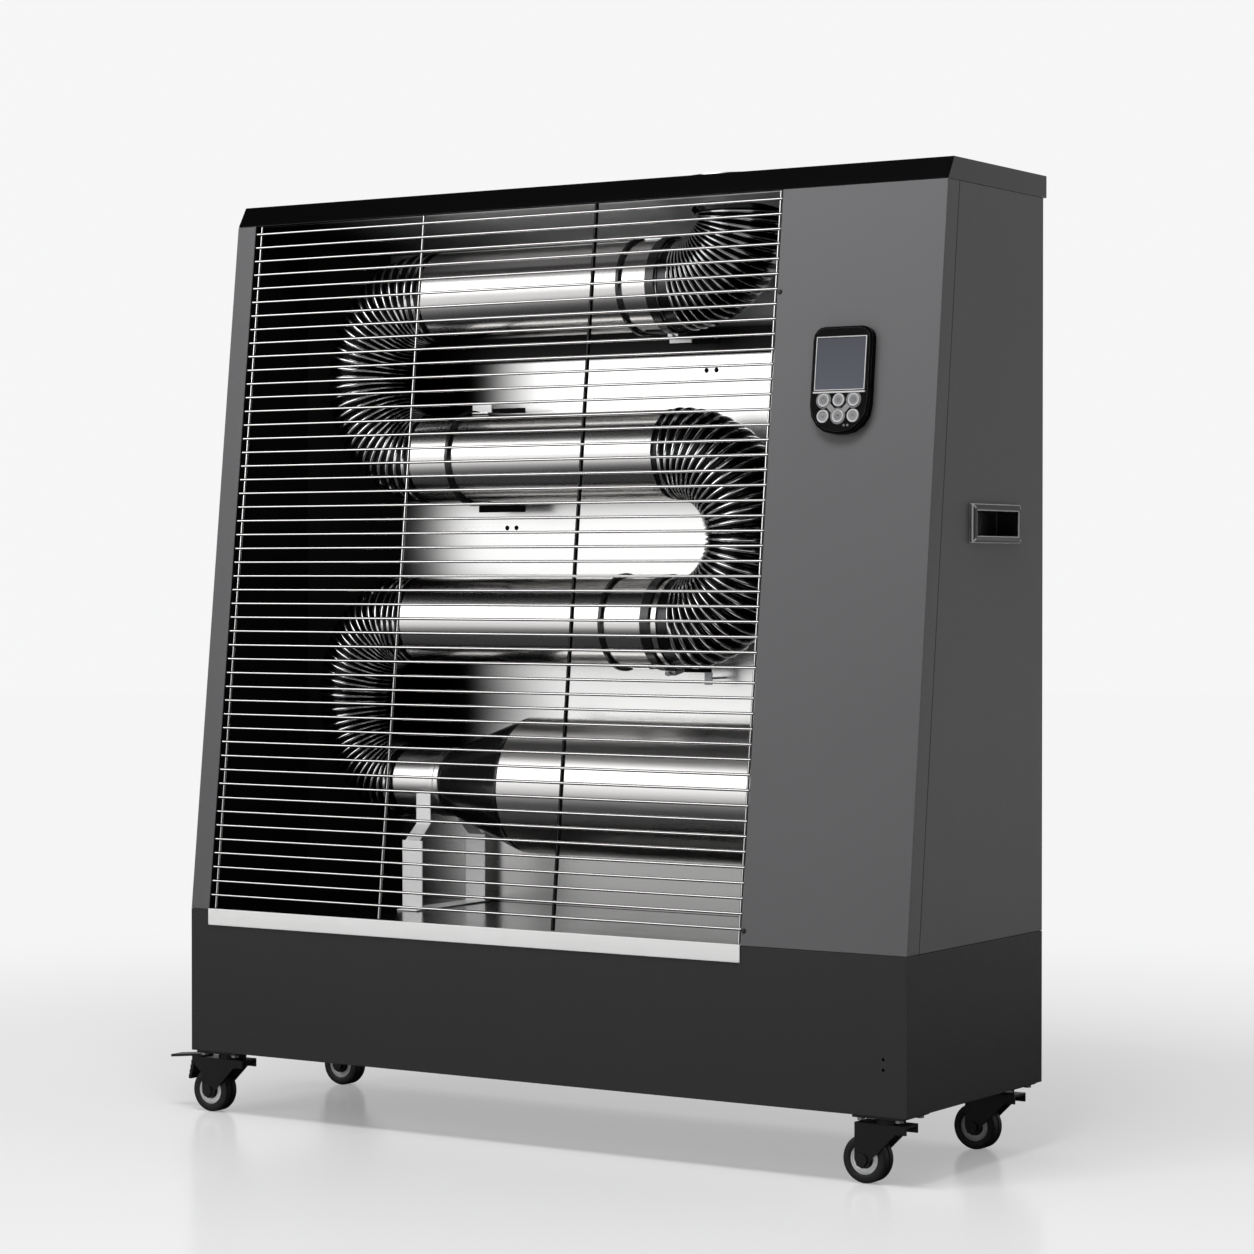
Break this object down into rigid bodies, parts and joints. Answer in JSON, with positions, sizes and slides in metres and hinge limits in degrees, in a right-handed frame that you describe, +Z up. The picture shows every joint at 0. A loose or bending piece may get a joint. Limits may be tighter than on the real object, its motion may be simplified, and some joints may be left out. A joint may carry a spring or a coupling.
{
  "type": "diesel infrared heater",
  "caption": "Free-standing diesel radiant heater: slant-fronted cabinet on casters, wire grille over serpentine steel tubes with ribbed bends, control panel and flue outlet.",
  "frame": {"origin": "on the floor under the middle of the bounding box", "axes": "+X to the control side (the right as seen from the front), -Y out of the front, +Z up"},
  "size_m": [0.985, 0.3166, 1.0508],
  "materials": {
    "charcoal_paint": "satin powder coat",
    "base_paint": "satin powder coat",
    "black_gloss": "gloss enamel",
    "black_heatproof": "semi-gloss heatproof paint",
    "stainless": "brushed",
    "polished_stainless": "polished",
    "dark_chrome": "dark polished",
    "bright_wire": "bright plated",
    "galvanised": "galvanised",
    "cast_aluminium": "as cast",
    "copper": "drawn copper pipe",
    "black_plastic": "moulded",
    "controller_gloss": "gloss moulded",
    "silver_plastic": "moulded",
    "display_glass": "gloss",
    "board_green": "circuit board case",
    "caster_steel": "black zinc",
    "wheel_rubber": "moulded",
    "red_plastic": "moulded"
  },
  "bodies": {
    "cabinet": {"base_shell": "base_paint", "base_rear_panel": "base_paint", "filler_neck": "black_plastic", "fuel_tank": "galvanised", "chamber_floor": "polished_stainless", "left_panel": "charcoal_paint", "right_panel": "charcoal_paint", "control_fascia": "charcoal_paint", "rear_panel": "charcoal_paint", "power_inlet": "black_plastic", "top_cap": "black_gloss", "flue_outlet": "stainless", "reflector_back": "polished_stainless", "reflector_wing": "black_heatproof", "chamber_ceiling": "stainless", "partition": "galvanised", "front_grille": "bright_wire", "combustion_chamber": "stainless", "chamber_reducer": "black_heatproof", "tube_lower": "stainless", "tube_middle": "stainless", "tube_upper": "stainless", "elbow_lower_left": "dark_chrome", "elbow_upper_left": "dark_chrome", "elbow_right": "dark_chrome", "flue_elbow": "dark_chrome", "outlet_cradle": "stainless", "blower_housing": "cast_aluminium", "burner_motor": "black_plastic", "nozzle_assembly": "cast_aluminium", "fuel_pump": "galvanised", "fuel_line": "copper", "ignition_transformer": "black_plastic", "controller_bezel": "controller_gloss", "controller_display": "display_glass", "control_board": "board_green", "handle_right": "black_plastic", "handle_left": "black_plastic", "caster_plate_front_left": "caster_steel", "caster_plate_rear_left": "caster_steel", "caster_plate_front_right": "caster_steel", "caster_plate_rear_right": "caster_steel"},
    "fuel_cap": {"fuel_cap": "red_plastic"},
    "blower_wheel": {"blower_wheel": "cast_aluminium"},
    "button_power": {"button_power": "silver_plastic"},
    "button_mode": {"button_mode": "silver_plastic"},
    "button_timer": {"button_timer": "silver_plastic"},
    "button_down": {"button_down": "silver_plastic"},
    "button_lock": {"button_lock": "silver_plastic"},
    "button_up": {"button_up": "silver_plastic"},
    "fork_front_left": {"fork_front_left": "caster_steel"},
    "wheel_front_left": {"wheel_front_left": "wheel_rubber"},
    "fork_rear_left": {"fork_rear_left": "caster_steel"},
    "wheel_rear_left": {"wheel_rear_left": "wheel_rubber"},
    "fork_front_right": {"fork_front_right": "caster_steel"},
    "wheel_front_right": {"wheel_front_right": "wheel_rubber"},
    "fork_rear_right": {"fork_rear_right": "caster_steel"},
    "wheel_rear_right": {"wheel_rear_right": "wheel_rubber"},
    "pedal_front_left": {"brake_pedal_front_left": "caster_steel"},
    "pedal_rear_left": {"brake_pedal_rear_left": "caster_steel"}
  },
  "joints": [
    {"name": "fuel_cap_lift", "type": "slide", "parent": "cabinet", "child": "fuel_cap", "axis": [0, 0.866, 0.5], "range_m": [0, 0.04]},
    {"name": "blower_spin", "type": "hinge", "parent": "cabinet", "child": "blower_wheel", "pos_m": [0.403, 0.00925, 0.3815], "axis": [0, 1, 0], "continuous": true},
    {"name": "button_power_press", "type": "slide", "parent": "cabinet", "child": "button_power", "axis": [0, 0.994, -0.1094], "range_m": [0, 0.001], "stiffness_N_per_m": 400},
    {"name": "button_mode_press", "type": "slide", "parent": "cabinet", "child": "button_mode", "axis": [0, 0.994, -0.1094], "range_m": [0, 0.001], "stiffness_N_per_m": 400},
    {"name": "button_timer_press", "type": "slide", "parent": "cabinet", "child": "button_timer", "axis": [0, 0.994, -0.1094], "range_m": [0, 0.001], "stiffness_N_per_m": 400},
    {"name": "button_down_press", "type": "slide", "parent": "cabinet", "child": "button_down", "axis": [0, 0.994, -0.1094], "range_m": [0, 0.001], "stiffness_N_per_m": 400},
    {"name": "button_lock_press", "type": "slide", "parent": "cabinet", "child": "button_lock", "axis": [0, 0.994, -0.1094], "range_m": [0, 0.001], "stiffness_N_per_m": 400},
    {"name": "button_up_press", "type": "slide", "parent": "cabinet", "child": "button_up", "axis": [0, 0.994, -0.1094], "range_m": [0, 0.001], "stiffness_N_per_m": 400},
    {"name": "swivel_front_left", "type": "hinge", "parent": "cabinet", "child": "fork_front_left", "pos_m": [-0.4085, -0.12575, 0.063], "axis": [0, 0, 1], "continuous": true},
    {"name": "axle_front_left", "type": "hinge", "parent": "fork_front_left", "child": "wheel_front_left", "pos_m": [-0.4343, -0.12575, 0.025], "axis": [0, 1, 0], "continuous": true},
    {"name": "swivel_rear_left", "type": "hinge", "parent": "cabinet", "child": "fork_rear_left", "pos_m": [-0.4085, 0.11925, 0.063], "axis": [0, 0, 1], "continuous": true},
    {"name": "axle_rear_left", "type": "hinge", "parent": "fork_rear_left", "child": "wheel_rear_left", "pos_m": [-0.4343, 0.11925, 0.025], "axis": [0, 1, 0], "continuous": true},
    {"name": "swivel_front_right", "type": "hinge", "parent": "cabinet", "child": "fork_front_right", "pos_m": [0.4515, -0.12575, 0.063], "axis": [0, 0, 1], "continuous": true},
    {"name": "axle_front_right", "type": "hinge", "parent": "fork_front_right", "child": "wheel_front_right", "pos_m": [0.4257, -0.12575, 0.025], "axis": [0, 1, 0], "continuous": true},
    {"name": "swivel_rear_right", "type": "hinge", "parent": "cabinet", "child": "fork_rear_right", "pos_m": [0.4515, 0.11925, 0.063], "axis": [0, 0, 1], "continuous": true},
    {"name": "axle_rear_right", "type": "hinge", "parent": "fork_rear_right", "child": "wheel_rear_right", "pos_m": [0.4257, 0.11925, 0.025], "axis": [0, 1, 0], "continuous": true},
    {"name": "brake_front_left", "type": "hinge", "parent": "fork_front_left", "child": "pedal_front_left", "pos_m": [-0.4485, -0.12575, 0.0585], "axis": [0, -1, 0], "range_deg": [0, 10]},
    {"name": "brake_rear_left", "type": "hinge", "parent": "fork_rear_left", "child": "pedal_rear_left", "pos_m": [-0.4485, 0.11925, 0.0585], "axis": [0, -1, 0], "range_deg": [0, 10]}
  ]
}
